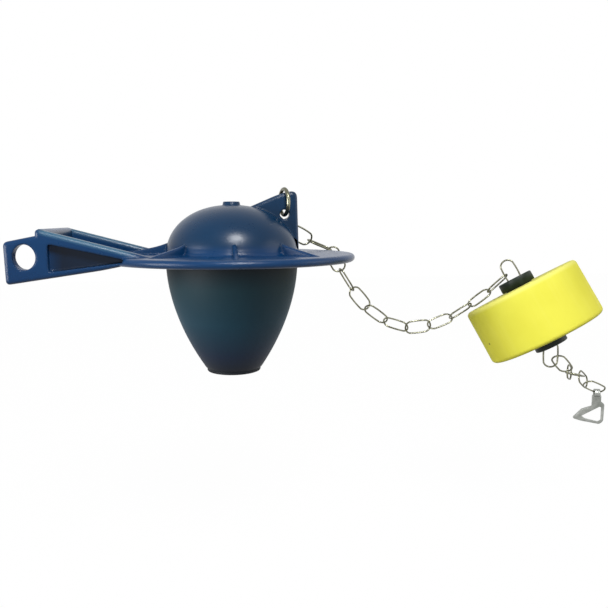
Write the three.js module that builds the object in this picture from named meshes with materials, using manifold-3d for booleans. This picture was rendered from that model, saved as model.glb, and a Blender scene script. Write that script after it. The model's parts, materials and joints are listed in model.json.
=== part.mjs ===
// A rubber toilet flapper for a 2 inch flush valve, with its lift chain, its foam float and the clip
// on the chain's loose end.
//
// Lengths are in millimetres, with +Z up. The origin is on the axis of the two pegs that the ears
// hang on, midway between the ears. The bulb lies towards +X, and the pegs lie along Y. The flapper
// is modelled first around the bulb's own axis, with z = 0 at the middle of the flange, and one
// group moves it all to the pegs.

import * as THREE from 'three';
import { mergeVertices } from 'three/addons/utils/BufferGeometryUtils.js';
import Module from 'manifold-3d';

const wasm = await Module();
wasm.setup();

// Bulb, dome and flange
const flangeRadius = 44;
const flangeThickness = 2.8;
const shellRadius = 23.5;
const shellWall = 2;
const domeHeight = 18.7;
const domeFullness = 2.15;
const domeFillet = 1.6;
const bulbDepth = 39.6;
const mouthRadius = 10.2;
const lipRadius = 9.6;
const lipHeight = 1.6;
const bossRadius = 3;
const bossHeight = 1.1;
const bossWall = 1;

// Ribs on the flange
const ribCount = 8;
const ribThickness = 1.4;
const ribHeight = 4.1;
const ribReach = 38.5;

// Lug for the chain
const lugThickness = 3.5;
const lugOverhang = 0.7;
const lugReach = shellRadius + lugOverhang;
const lugHeight = 23.3;
const lugRound = 2.6;
const lugHoleRadius = 1.7;
const lugHoleInset = 5.3;
const lugHoleX = lugReach - lugHoleInset;
const lugHoleZ = 15.2;
const lugBevel = 0.7;

// Arms, cross wall and ears
const armSpacing = 43.4;
const armThickness = 4;
const armBevel = 0.6;
const armTop = 10.9;
const armTopSlope = 0.27;
const armPocketDepth = 2.4;
const armPocketMargin = 3.3;
const wallX = -61.4;
const wallThickness = 2.6;
const wallBottom = -4.2;
const earReach = 6.2;
const earTop = 8.6;
const earBottom = -6.7;
const pegFromBulb = 65.2;
const pegAboveFlange = 2;
const pegHoleWidth = 6.9;
const pegHoleHeight = 8;

// Ring through the lug
const ringWire = 1.4;
const ringRadius = 4.6;
const ringSwing = 13;
const ringHookAngle = 40;

// Chain links
const linkWire = 0.75;
const linkPitch = 9.45;
const linkWidth = 6.3;
const linkPlay = 0.2;
const linkFacing = new THREE.Vector3(0.3, 0.95, -0.08).normalize();

// How the chain lies: over the flange's rim, then down and up to the float
const rimBearing = 30.6;
const rimStandOff = 3.1;
const rimDrop = 0.2;
const lugSlack = 1.09;
const hangSlack = 1.29;
const hangSkew = 0.33;
const hangFullness = 0.95;
const floatFromRim = new THREE.Vector3(72.1, -6.8, -10.7);
const rimTurn = -84;
const hangTurns = [0, 72, -30, 42, -54, 24, -48, 66, -60, 72];

// Float, its bush and its washer
const floatDiameter = 47.6;
const floatHeight = 23.4;
const floatRound = 1.6;
const floatAxis = new THREE.Vector3(-0.42, 0.281, 0.863).normalize();
const boreRadius = 4.2;
const bushWall = 1.3;
const bushHeadRadius = 7;
const bushHeadHeight = 3.8;
const bushHeadRound = 0.5;
const washerRadius = 6.7;
const washerThickness = 3.4;
const fitClearance = 0.3;
const standingLinkRise = 8.4;
const hangingLinkDepth = 0.8;
const innerLinks = 3;
const legHeight = 2.3;

// The loose end under the float: heading, fall and turn of each link, in degrees
const tailLinks = [
  [0, 90, 0],
  [22.4, 42.9, 33.6],
  [51.1, 17.2, -29.4],
  [36.8, 15.8, 75.8],
  [36.4, 30.9, -38.5],
  [7.3, 25, 40.9]
];
const legHook = 1.5;

// Clip
const clipThickness = 0.9;
const clipTabWidth = 3.8;
const clipTabHeight = 5.4;
const clipEyeRadius = 1.05;
const clipEyeWall = 0.7;
const clipEyeWidth = 2.4;
const clipHookAngle = 55.3;
const clipPointReach = 9.6;
const clipPointDrop = 4.9;
const clipPointHeight = 0.8;
const clipSideReach = 3.4;
const clipFootDrop = 7.9;

const up = new THREE.Vector3(0, 0, 1);
const degrees = Math.PI / 180;

// Booleans

function toSolid(geometry) {
  const bare = geometry.clone();
  bare.deleteAttribute('normal');
  bare.deleteAttribute('uv');
  const merged = mergeVertices(bare, 1e-5);
  const corners = merged.index.array;
  const triVerts = [];
  for (let i = 0; i < corners.length; i += 3) {
    const [a, b, c] = corners.slice(i, i + 3);
    if (a !== b && b !== c && c !== a) {
      triVerts.push(a, b, c);
    }
  }
  return new wasm.Manifold(new wasm.Mesh({
    numProp: 3,
    vertProperties: new Float32Array(merged.attributes.position.array),
    triVerts: new Uint32Array(triVerts)
  }));
}

function toGeometry(solid) {
  const mesh = solid.getMesh();
  const geometry = new THREE.BufferGeometry();
  geometry.setAttribute('position', new THREE.BufferAttribute(mesh.vertProperties, 3));
  geometry.setIndex(new THREE.BufferAttribute(mesh.triVerts, 1));
  geometry.computeVertexNormals();
  return geometry;
}

function join(geometries) {
  return geometries.map(toSolid).reduce((whole, piece) => whole.add(piece));
}

// Plain forms

// A solid of revolution about Z from [radius, height] points that run down its outside.
function revolve(points, segments) {
  const profile = [...points].reverse().map(([radius, height]) => new THREE.Vector2(radius, height));
  return new THREE.LatheGeometry(profile, segments).rotateX(Math.PI / 2);
}

// A plate in the XZ plane, centred on y, with its edges rounded over by bevel.
function plate(shape, y, thickness, bevel, curveSegments = 4) {
  const geometry = new THREE.ExtrudeGeometry(shape, {
    depth: thickness - 2 * bevel,
    bevelEnabled: bevel > 0,
    bevelThickness: bevel,
    bevelSize: bevel,
    bevelOffset: -bevel,
    bevelSegments: 1,
    curveSegments
  });
  return geometry.rotateX(Math.PI / 2).translate(0, y + thickness / 2 - bevel, 0);
}

// A closed outline whose corners are rounded. Each point is [x, z, radius].
function roundedOutline(points) {
  const shape = new THREE.Shape();
  points.forEach(([x, z, radius], i) => {
    const corner = new THREE.Vector2(x, z);
    const before = new THREE.Vector2(...points[(i + points.length - 1) % points.length]);
    const after = new THREE.Vector2(...points[(i + 1) % points.length]);
    const enter = before.sub(corner).setLength(radius).add(corner);
    const leave = after.sub(corner).setLength(radius).add(corner);
    if (i === 0) {
      shape.moveTo(enter.x, enter.y);
    } else {
      shape.lineTo(enter.x, enter.y);
    }
    if (radius > 0) {
      shape.quadraticCurveTo(x, z, leave.x, leave.y);
    }
  });
  shape.closePath();
  return shape;
}

// An oval hole's cutter along Y, from one y to another.
function ovalCutter(x, z, width, height, fromY, toY) {
  return new THREE.CylinderGeometry(0.5, 0.5, toY - fromY, 24)
    .scale(width, 1, height)
    .translate(x, (fromY + toY) / 2, z);
}

// The bulb and dome's outline, inset by a wall: dome points from the top down to the flange.
function domeLine(inset, steps = 9) {
  const power = 2 / domeFullness;
  return Array.from({ length: steps + 1 }, (_, i) => {
    const angle = (i / steps) * (Math.PI / 2) * 0.97;
    return [
      (shellRadius - inset) * Math.sin(angle) ** power,
      (domeHeight - inset) * Math.cos(angle) ** power
    ];
  });
}

// Bulb points from the flange down to the mouth.
function bulbLine(inset, steps = 9) {
  const fall = new THREE.CubicBezierCurve(
    new THREE.Vector2(shellRadius - inset, 0),
    new THREE.Vector2(shellRadius * 1.009 - inset, -bulbDepth * 0.32),
    new THREE.Vector2(shellRadius * 0.8 - inset, -bulbDepth * 0.68),
    new THREE.Vector2(mouthRadius - inset, -bulbDepth)
  );
  return fall.getPoints(steps).map((point) => [point.x, point.y]);
}

// Flapper, one rubber moulding

function shellOutside() {
  const half = flangeThickness / 2;
  const rim = Array.from({ length: 5 }, (_, i) => {
    const angle = (i / 4) * Math.PI;
    return [flangeRadius - half + half * Math.sin(angle), half * Math.cos(angle)];
  });
  const fillet = Array.from({ length: 4 }, (_, i) => {
    const angle = (i / 3) * (Math.PI / 2);
    return [
      shellRadius + domeFillet * (1 - Math.cos(angle)),
      half + domeFillet * (1 - Math.sin(angle))
    ];
  });
  const lineAbove = domeLine(0).filter(([radius, height]) => {
    return radius > bossRadius + 0.3 && height > half + domeFillet;
  });
  const bulb = bulbLine(0).filter(([, height]) => height < -half);
  const bossTop = domeHeight + bossHeight;
  return revolve([
    [0, domeHeight + bossHeight / 2],
    [bossRadius - bossWall, domeHeight + bossHeight / 2],
    [bossRadius - bossWall * 0.7, bossTop],
    [bossRadius - bossWall * 0.1, bossTop],
    [bossRadius, domeHeight - 0.1],
    ...lineAbove,
    ...fillet,
    ...rim,
    [shellRadius, -half],
    ...bulb,
    [lipRadius, -bulbDepth - 0.2],
    [lipRadius, -bulbDepth - lipHeight + 0.4],
    [lipRadius - 0.5, -bulbDepth - lipHeight],
    [0, -bulbDepth - lipHeight]
  ], 44);
}

function shellInside() {
  const throat = mouthRadius - shellWall - 0.2;
  return revolve([
    ...domeLine(shellWall, 6),
    ...bulbLine(shellWall, 6).slice(1),
    [throat, -bulbDepth - 0.3],
    [throat, -bulbDepth - lipHeight - 1],
    [0, -bulbDepth - lipHeight - 1]
  ], 28);
}

function rib(angle) {
  const inner = shellRadius - shellWall / 2;
  const foot = flangeThickness / 4;
  const outline = roundedOutline([
    [inner, foot, 0],
    [ribReach, foot, 0],
    [ribReach, flangeThickness / 2 + 0.1, 0],
    [shellRadius + 2.2, flangeThickness / 2 + ribHeight * 0.72, 1.5],
    [inner, flangeThickness / 2 + ribHeight, 0]
  ]);
  return plate(outline, 0, ribThickness, 0.3).rotateZ(angle);
}

function lug() {
  const inner = shellRadius * 0.12;
  const outline = roundedOutline([
    [inner, flangeThickness / 2, 0],
    [lugReach, flangeThickness / 2, 0],
    [lugReach - 0.6, lugHeight + 0.7, lugRound],
    [lugHoleX - 1.5, lugHeight - 0.6, 2],
    [inner + 3, domeHeight - 1, 1.5],
    [inner, domeHeight - 1.2, 0]
  ]);
  return plate(outline, 0, lugThickness, lugBevel);
}

function armTopAt(x) {
  return armTop - armTopSlope * (x - wallX);
}

function armBottomAt(x) {
  const start = wallX - wallThickness / 2 - earReach;
  const end = -Math.sqrt(flangeRadius ** 2 - (armSpacing / 2) ** 2);
  const share = (x - start) / (end - start);
  return THREE.MathUtils.lerp(earBottom, -flangeThickness / 2 - 0.6, share);
}

function arm(side) {
  const y = (side * armSpacing) / 2;
  const earEnd = -pegFromBulb - earReach;
  const step = wallX - 0.4;
  const root = -Math.sqrt(flangeRadius ** 2 - (armSpacing / 2) ** 2);
  const runOut = wallX + (armTop - flangeThickness / 2) / armTopSlope;
  const outline = roundedOutline([
    [earEnd, earTop - 1.9, 1.2],
    [step, earTop, 0.2],
    [step, armTop, 1.4],
    [runOut, flangeThickness / 2 - 0.1, 0],
    [runOut, -flangeThickness / 2 + 0.1, 0],
    [root + 3, -flangeThickness / 2 + 0.1, 0.5],
    [root - 4, armBottomAt(root - 4), 2],
    [earEnd + 0.3, earBottom, 1.2]
  ]);
  return plate(outline, y, armThickness, armBevel);
}

function armPocket(side) {
  const left = wallX + armPocketMargin;
  const right = -Math.sqrt(flangeRadius ** 2 - (armSpacing / 2) ** 2) + 4;
  const outline = roundedOutline([
    [left, armTopAt(left) - armPocketMargin, 1.2],
    [right, armTopAt(right) - 2.2, 0.3],
    [right - 0.2, 0, 0.2],
    [left, armBottomAt(left) + 1.3, 1.2]
  ]);
  const face = (side * (armSpacing + armThickness)) / 2;
  return plate(outline, face, 2 * armPocketDepth, 0);
}

function crossWall() {
  const outline = roundedOutline([
    [wallX, armTop, 1],
    [wallX + wallThickness, armTop - armTopSlope * wallThickness, 1],
    [wallX + wallThickness, wallBottom, 0.6],
    [wallX, wallBottom, 0.6]
  ]);
  return plate(outline, 0, armSpacing, 0);
}

function flapperBody() {
  const ribs = Array.from({ length: ribCount }, (_, i) => rib((i * 2 * Math.PI) / ribCount));
  const outside = join([shellOutside(), ...ribs, lug(), arm(-1), arm(1), crossWall()]);
  const earsWide = armSpacing + 2 * armThickness;
  const pegHoles = ovalCutter(
    -pegFromBulb, pegAboveFlange, pegHoleWidth, pegHoleHeight, -earsWide / 2, earsWide / 2
  );
  const lugHole = ovalCutter(
    lugHoleX, lugHoleZ, 2 * lugHoleRadius, 2 * lugHoleRadius, -lugThickness, lugThickness
  );
  const recesses = join([shellInside(), armPocket(-1), armPocket(1), pegHoles, lugHole]);
  return toGeometry(outside.subtract(recesses));
}

// Materials

function material(color, roughness, metalness = 0) {
  return new THREE.MeshStandardMaterial({ color, roughness, metalness });
}

const blueRubber = material(0x1d4a80, 0.45);
const steel = material(0x8b8d7c, 0.35, 1);
const yellowFoam = material(0xe8e242, 0.8);
const blackPlastic = material(0x1a2a1c, 0.5);

// Assembly

const flapper = new THREE.Group();
const aroundBulb = new THREE.Group();
aroundBulb.position.set(pegFromBulb, 0, -pegAboveFlange);
flapper.add(aroundBulb);

function place(name, geometry, coat, position, along, across) {
  const mesh = new THREE.Mesh(geometry, coat);
  mesh.name = name;
  mesh.position.copy(position);
  const normal = along.clone().cross(across);
  mesh.quaternion.setFromRotationMatrix(new THREE.Matrix4().makeBasis(along, across, normal));
  aroundBulb.add(mesh);
}

const origin = new THREE.Vector3();
const alongX = new THREE.Vector3(1, 0, 0);
const alongY = new THREE.Vector3(0, 1, 0);
place('flapper_body', flapperBody(), blueRubber, origin, alongX, alongY);

// The ring stands in its own plane, through the lug's hole and over the lug's top.
const ringAcross = new THREE.Vector3(0, 1, 0).applyAxisAngle(up, ringSwing * degrees);
const ringCentre = new THREE.Vector3(lugHoleX, 0, lugHoleZ - 0.2 + ringRadius);
const ringGeometry = new THREE.TorusGeometry(ringRadius, ringWire / 2, 8, 24);
place('lug_ring', ringGeometry, steel, ringCentre, up, ringAcross);

// Where the first link hooks on the ring, and the ring's own direction there.
const hook = ringHookAngle * degrees;
const hookPoint = ringCentre.clone()
  .addScaledVector(ringAcross, ringRadius * Math.cos(hook))
  .addScaledVector(up, -ringRadius * Math.sin(hook));
const hookTangent = ringAcross.clone().multiplyScalar(Math.sin(hook))
  .addScaledVector(up, Math.cos(hook));

// A link is a ring drawn out along x. Its end wires' centres lie linkSpan apart.
const linkSpan = linkPitch + linkWire + linkPlay;
const endRadius = (linkWidth - linkWire) / 2;

function linkGeometry() {
  const geometry = new THREE.TorusGeometry(endRadius, linkWire / 2, 6, 14);
  const position = geometry.attributes.position;
  const draw = linkSpan / 2 - endRadius;
  for (let i = 0; i < position.count; i += 1) {
    const x = position.getX(i);
    position.setX(i, x + Math.sign(x) * draw);
  }
  return geometry;
}

// A link from the centre of its far end wire, its direction and its width's direction.
function addLink(name, farEnd, along, across) {
  const centre = farEnd.clone().addScaledVector(along, -linkSpan / 2);
  place(name, linkGeometry(), steel, centre, along, across);
}

// The width's direction of a link turned by so many degrees from facing the front.
function widthOf(along, turn) {
  const flat = linkFacing.clone().cross(along).normalize();
  return flat.applyAxisAngle(along, turn * degrees);
}

// How far a link whose width has this direction is turned from facing the front.
function turnOf(along, width) {
  const flat = linkFacing.clone().cross(along).normalize();
  return Math.atan2(flat.clone().cross(width).dot(along), flat.dot(width)) / degrees;
}

// The same turn less so many half turns, between -90 and 90.
function halfTurnLeft(turn) {
  return turn - 180 * Math.round(turn / 180);
}

// Points one step apart on the curve that runs from start to end and is pushed off its straight
// line by push(t) times as much as it takes for the last point to fall on the end.
function slackPoints(start, end, steps, push) {
  const at = (t, amount) => start.clone().lerp(end, t).addScaledVector(push(t), amount);
  const walk = (amount) => {
    const points = [start.clone()];
    let t = 0;
    for (const step of steps) {
      let low = t;
      let high = t + 1;
      for (let i = 0; i < 40; i += 1) {
        const middle = (low + high) / 2;
        const reach = at(middle, amount).distanceTo(points[points.length - 1]);
        [low, high] = reach < step ? [middle, high] : [low, middle];
      }
      t = low;
      points.push(at(t, amount));
    }
    return { points, t };
  };
  let least = 0;
  let most = start.distanceTo(end);
  for (let i = 0; i < 40; i += 1) {
    const middle = (least + most) / 2;
    [least, most] = walk(middle).t > 1 ? [middle, most] : [least, middle];
  }
  return walk(least).points;
}

// Chain from the lug's ring to the far side of the rim

const bearing = rimBearing * degrees;
const rimPoint = new THREE.Vector3(Math.cos(bearing), Math.sin(bearing), 0)
  .multiplyScalar(flangeRadius + rimStandOff)
  .setZ(flangeThickness / 2 - rimDrop);
const hookGap = (ringWire + linkWire) / 2 + linkPlay;
const lugCount = Math.ceil((hookPoint.distanceTo(rimPoint) * lugSlack) / linkPitch);
const lugSteps = Array.from({ length: lugCount }, (_, i) => (i === 0 ? linkSpan - hookGap : linkPitch));
const sideways = up.clone().cross(rimPoint.clone().sub(hookPoint)).normalize();
const lugPoints = slackPoints(hookPoint, rimPoint, lugSteps, (t) => {
  return sideways.clone().multiplyScalar(4 * t * (1 - t));
});

// Chain from the rim to the float, hanging a little deeper near the rim

const floatHook = rimPoint.clone().add(floatFromRim);
const hangCount = Math.round((rimPoint.distanceTo(floatHook) * hangSlack) / linkPitch);
const hangSteps = Array.from({ length: hangCount }, () => linkPitch);
const hangPoints = slackPoints(rimPoint, floatHook, hangSteps, (t) => {
  const bow = Math.max(4 * t * (1 - t), 0) ** hangFullness;
  return up.clone().multiplyScalar(-bow * (1 + hangSkew * (1 - 2 * t)));
});

// From the ring to the rim the links turn by quarter turns, and the first two of them also share
// what is still needed for the last one to stand at rimTurn.

const chainPoints = [...lugPoints, ...hangPoints.slice(1)];
const chainAlongs = chainPoints.slice(1).map((point, i) => {
  return point.clone().sub(chainPoints[i]).normalize();
});
const firstAcross = hookTangent.clone().cross(chainAlongs[0]).normalize();
const firstTurn = turnOf(chainAlongs[0], firstAcross);
const spareTurn = halfTurnLeft(rimTurn - firstTurn - 90 * (lugCount - 1));
const lugTurns = Array.from({ length: lugCount }, (_, i) => {
  return firstTurn + 90 * i + spareTurn * Math.min(1, i / 2);
});
const chainTurns = [...lugTurns, ...hangTurns];
let lastAlong = alongX;
let lastAcross = alongY;
chainAlongs.forEach((along, i) => {
  const across = i === 0 ? firstAcross : widthOf(along, chainTurns[i % chainTurns.length]);
  addLink(`chain_link_${String(i + 1).padStart(2, '0')}`, chainPoints[i + 1], along, across);
  lastAlong = along;
  lastAcross = across;
});

// Float. The last hanging link closes round the left leg of the link that stands out of the bush.

const leftLeg = floatHook.clone().addScaledVector(lastAlong, -linkWire - linkPlay);
const legAcross = lastAcross.clone().cross(floatAxis).normalize();
if (legAcross.x < 0) {
  legAcross.negate();
}
const bushTop = leftLeg.clone()
  .addScaledVector(legAcross, endRadius)
  .addScaledVector(floatAxis, -legHeight);
const floatTop = bushTop.clone().addScaledVector(floatAxis, -bushHeadHeight - fitClearance);
const floatFoot = floatTop.clone().addScaledVector(floatAxis, -floatHeight);
const acrossFloat = legAcross.clone();

// Each of these is a revolve about its own z, so it is laid with z along the float's axis.
function addRound(name, geometry, coat, base) {
  const along = acrossFloat.clone().cross(floatAxis).normalize();
  place(name, geometry, coat, base, acrossFloat, along.negate());
}

function tubeProfile(inner, outer, height, round) {
  const steps = 2;
  const corner = (start) => Array.from({ length: steps + 1 }, (_, i) => {
    const angle = start + (i / steps) * (Math.PI / 2);
    return [Math.cos(angle) * round, Math.sin(angle) * round];
  });
  const low = corner(-Math.PI / 2).map(([x, z]) => [outer - round + x, round + z]);
  const high = corner(0).map(([x, z]) => [outer - round + x, height - round + z]);
  return [[inner, height], ...high.reverse(), ...low.reverse(), [inner, 0], [inner, height]];
}

const sleeveRadius = boreRadius + bushWall;
const floatBore = sleeveRadius + fitClearance;
addRound(
  'float',
  revolve(tubeProfile(floatBore, floatDiameter / 2, floatHeight, floatRound), 36),
  yellowFoam,
  floatFoot
);

const sleeveEnd = -floatHeight - 2 * fitClearance - washerThickness;
const bushProfile = [
  [boreRadius, bushHeadHeight],
  [bushHeadRadius - bushHeadRound, bushHeadHeight],
  [bushHeadRadius, bushHeadHeight - bushHeadRound],
  [bushHeadRadius, 0],
  [sleeveRadius, 0],
  [sleeveRadius, sleeveEnd],
  [boreRadius, sleeveEnd],
  [boreRadius, bushHeadHeight]
];
const bushSeat = bushTop.clone().addScaledVector(floatAxis, -bushHeadHeight);
addRound('float_bush', revolve(bushProfile, 22), blackPlastic, bushSeat);

const washerFoot = floatFoot.clone().addScaledVector(floatAxis, -fitClearance - washerThickness);
const washerBore = sleeveRadius + fitClearance;
addRound(
  'float_washer',
  revolve(tubeProfile(washerBore, washerRadius, washerThickness, 0.3), 24),
  blackPlastic,
  washerFoot
);

// Links in the bush: one stands out of its top, and the rest run down the bore.

const down = floatAxis.clone().negate();
const standingEnd = bushTop.clone().addScaledVector(down, linkSpan + linkWire / 2 - standingLinkRise);
const boreEnd = bushSeat.clone().addScaledVector(floatAxis, sleeveEnd + hangingLinkDepth);
const innerStep = standingEnd.distanceTo(boreEnd) / innerLinks;
const boreFacing = legAcross.clone();
let across = boreFacing.clone();
let end = standingEnd.clone();
let serial = chainPoints.length;
addLink(`chain_link_${serial}`, end, down, across);
for (let i = 0; i < innerLinks; i += 1) {
  serial += 1;
  across = across.clone().cross(down).normalize();
  end = end.clone().addScaledVector(down, innerStep);
  addLink(`chain_link_${serial}`, end, down, across);
}

// Loose end. Its second link closes round the right leg of its first, legHook below the middle.

let along = down;
tailLinks.forEach(([heading, fall, turn], i) => {
  const flat = Math.cos(fall * degrees);
  const before = along;
  along = new THREE.Vector3(
    flat * Math.cos(heading * degrees),
    flat * Math.sin(heading * degrees),
    -Math.sin(fall * degrees)
  );
  if (i === 1) {
    const slant = 1 - 1 / Math.sin(along.angleTo(before));
    end.addScaledVector(before, legHook - linkSpan / 2)
      .addScaledVector(across, -endRadius)
      .addScaledVector(along, (linkWire + linkPlay) * slant);
  }
  across = widthOf(along, turn);
  end = end.clone().addScaledVector(along, linkPitch);
  addLink(`tail_link_${i + 1}`, end, along, across);
});

// Clip: a flat triangle with a tab that is curled into an eye

function clipSolid() {
  const half = clipTabWidth / 2;
  const top = -clipEyeRadius;
  const foot = top - clipTabHeight;
  const outline = roundedOutline([
    [-half, top, 0.3],
    [-half, foot + 0.4, 0.4],
    [-6.2, foot - 1.2, 0.5],
    [-clipPointReach, foot - clipPointDrop, 0.3],
    [-clipPointReach, foot - clipPointDrop - clipPointHeight, 0.3],
    [-6.6, foot - 6.6, 0.5],
    [1.5, foot - clipFootDrop, 0.6],
    [3.2, foot - 6.6, 1],
    [clipSideReach, foot + 1.6, 1],
    [half, foot + 2.4, 0.4],
    [half, top, 0.3]
  ]);
  const window = roundedOutline([
    [-6.2, foot - 4.4, 0.3],
    [-4.5, foot - 5.6, 0.3],
    [0.9, foot - 6.8, 0.4],
    [2.2, foot - 6.1, 0.4],
    [2.2, foot - 0.1, 0.4],
    [1.3, foot + 0.1, 0.3]
  ]);
  const flat = plate(outline, 0, clipThickness, 0);
  const cutter = toSolid(plate(window, 0, 2 * clipThickness, 0));
  const eyeProfile = [
    [clipEyeRadius, clipEyeWidth / 2],
    [clipEyeRadius + clipEyeWall, clipEyeWidth / 2],
    [clipEyeRadius + clipEyeWall, -clipEyeWidth / 2],
    [clipEyeRadius, -clipEyeWidth / 2],
    [clipEyeRadius, clipEyeWidth / 2]
  ];
  const eye = revolve(eyeProfile, 20).rotateY(Math.PI / 2);
  return toGeometry(join([flat, eye]).subtract(cutter));
}

// The eye hangs on the last link's round end, where its wire runs across the picture of the clip.
const clipHook = clipHookAngle * degrees;
const clipSeat = end.clone()
  .addScaledVector(along, endRadius * (Math.cos(clipHook) - 1))
  .addScaledVector(across, endRadius * Math.sin(clipHook));
const clipAcross = along.clone().multiplyScalar(Math.sin(clipHook))
  .addScaledVector(across, -Math.cos(clipHook));
const clipDown = up.clone().negate().addScaledVector(clipAcross, clipAcross.z).normalize();
const clipFacing = clipAcross.clone().cross(clipDown).normalize();
const clipEye = clipSeat.clone().addScaledVector(clipDown, clipEyeRadius - linkWire / 2 - 2 * linkPlay);
place('chain_clip', clipSolid(), steel, clipEye, clipAcross, clipFacing);

export default flapper;
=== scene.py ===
import json
import math
import bpy
import bmesh
import numpy as np
from mathutils import Matrix, Vector


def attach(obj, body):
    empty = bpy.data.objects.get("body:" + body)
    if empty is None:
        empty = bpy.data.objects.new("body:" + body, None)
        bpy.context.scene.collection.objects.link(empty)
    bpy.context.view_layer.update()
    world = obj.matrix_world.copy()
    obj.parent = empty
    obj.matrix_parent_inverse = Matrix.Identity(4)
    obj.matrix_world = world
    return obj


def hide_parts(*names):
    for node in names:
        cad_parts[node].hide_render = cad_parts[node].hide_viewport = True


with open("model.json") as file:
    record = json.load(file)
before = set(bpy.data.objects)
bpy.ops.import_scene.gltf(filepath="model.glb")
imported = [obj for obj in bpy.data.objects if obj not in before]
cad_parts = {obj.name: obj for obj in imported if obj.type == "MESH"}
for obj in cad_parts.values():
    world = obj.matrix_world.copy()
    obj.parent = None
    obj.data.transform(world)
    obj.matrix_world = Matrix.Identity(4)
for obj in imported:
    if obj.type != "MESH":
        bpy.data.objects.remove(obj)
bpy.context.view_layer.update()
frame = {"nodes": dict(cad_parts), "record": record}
nodes = frame["nodes"]
bodyOf = {node: body for body, names in frame["record"]["behaviour"]["bodies"].items() for node in names}
mm = 0.001
print("frame loaded:", len(nodes), "nodes")


# Camera: where the photograph was taken from, in the row frame

camera = {
    "place": (56.64, -240.0, 11.32),  # mm from the peg axis
    "yaw": 8.19,  # degrees to the right of +Y
    "pitch": 7.25,  # degrees below level
    "roll": -0.22,
    "focal": 663.757,  # pixels, like the picture's width
    "width": 608,
    "sensor": 36,  # mm
    "clip": (0.01, 20),  # m
}


def lookAlong(place, yaw, pitch, roll):
    # forward from the two angles, right level with the ground, and both turned about forward by roll
    y, p, r = (math.radians(a) for a in (yaw, pitch, roll))
    forward = Vector((math.sin(y) * math.cos(p), math.cos(y) * math.cos(p), -math.sin(p)))
    right = Vector((math.cos(y), -math.sin(y), 0))
    up = right.cross(forward)
    rightTurned = right * math.cos(r) + up * math.sin(r)
    upTurned = up * math.cos(r) - right * math.sin(r)
    turn = Matrix((rightTurned, upTurned, -forward)).transposed().to_4x4()
    return Matrix.Translation(Vector(place)) @ turn


camData = bpy.data.cameras.new("photoCamera")
camData.sensor_fit = "HORIZONTAL"
camData.sensor_width = camera["sensor"]
camData.lens = camera["sensor"] * camera["focal"] / camera["width"]
camData.clip_start, camData.clip_end = camera["clip"]
camObject = bpy.data.objects.new("photoCamera", camData)
bpy.context.scene.collection.objects.link(camObject)
camObject.matrix_world = lookAlong(
    [v * mm for v in camera["place"]], camera["yaw"], camera["pitch"], camera["roll"]
)
bpy.context.scene.camera = camObject
bpy.context.scene.view_settings.view_transform = "Standard"
print("camera set")


# Mesh helpers

def addMesh(name, points, faces, body, sharpAt=38):
    # points in millimetres, faces as index lists; edges sharper than sharpAt stay hard
    mesh = bpy.data.meshes.new(name)
    mesh.from_pydata((np.asarray(points) * mm).tolist(), [], faces)
    mesh.validate()
    piece = bpy.data.objects.new(name, mesh)
    smoothed(piece, sharpAt)
    bpy.context.scene.collection.objects.link(piece)
    if body:
        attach(piece, body)
    return piece


def gridFaces(rows, columns, closeRows=False, closeColumns=True):
    # quads between neighbours of a rows x columns grid of points, counted row by row
    i = np.arange(rows if closeRows else rows - 1)
    j = np.arange(columns if closeColumns else columns - 1)
    a, b = np.meshgrid(i, j, indexing="ij")
    a2, b2 = (a + 1) % rows, (b + 1) % columns
    quads = np.stack([a * columns + b, a * columns + b2, a2 * columns + b2, a2 * columns + b], -1)
    return quads.reshape(-1, 4).tolist()


def revolve(profile, segments):
    # each [radius, height] of a closed profile goes round Z: x = r cos, y = r sin, z = h
    profile = np.asarray(profile, float)
    angle = np.linspace(0, 2 * np.pi, segments, endpoint=False)
    radius, height = profile[:, :1], profile[:, 1:]
    level = np.broadcast_to(height, (len(profile), segments))
    rings = np.stack([radius * np.cos(angle), radius * np.sin(angle), level], -1)
    return rings.reshape(-1, 3), gridFaces(len(profile), segments, closeRows=True)


def roundedOutline(corners, steps=9):
    # each corner [x, z, r] is cut back by r along both sides and bridged by a quadratic curve
    corners = np.asarray(corners, float)
    spot = corners[:, :2]
    toBefore = np.roll(spot, 1, 0) - spot
    toAfter = np.roll(spot, -1, 0) - spot
    cut = np.maximum(corners[:, 2:], 0.02)
    enter = spot + toBefore / np.linalg.norm(toBefore, axis=1, keepdims=True) * cut
    leave = spot + toAfter / np.linalg.norm(toAfter, axis=1, keepdims=True) * cut
    t = np.linspace(0, 1, steps)[None, :, None]
    curve = (1 - t) ** 2 * enter[:, None] + 2 * t * (1 - t) * spot[:, None] + t**2 * leave[:, None]
    return curve.reshape(-1, 2)


def shrunk(corners, inset):
    # each side moves inwards by the inset, and a corner's cut shrinks by inset * tan(half its turn)
    corners = np.asarray(corners, float)
    spot = corners[:, :2]
    side = np.roll(spot, -1, 0) - spot
    side /= np.linalg.norm(side, axis=1, keepdims=True)
    area = np.sum(spot[:, 0] * np.roll(spot[:, 1], -1) - np.roll(spot[:, 0], -1) * spot[:, 1])
    normal = np.stack([-side[:, 1], side[:, 0]], 1) * np.sign(area)
    before, sideBefore = np.roll(normal, 1, 0), np.roll(side, 1, 0)
    together = 1 + np.sum(before * normal, axis=1, keepdims=True)
    turn = (sideBefore[:, 0] * side[:, 1] - sideBefore[:, 1] * side[:, 0]) * np.sign(area)
    cut = corners[:, 2:] - inset * turn[:, None] / together
    return np.concatenate([spot + inset * (before + normal) / together, np.maximum(cut, 0.02)], 1)


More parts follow.
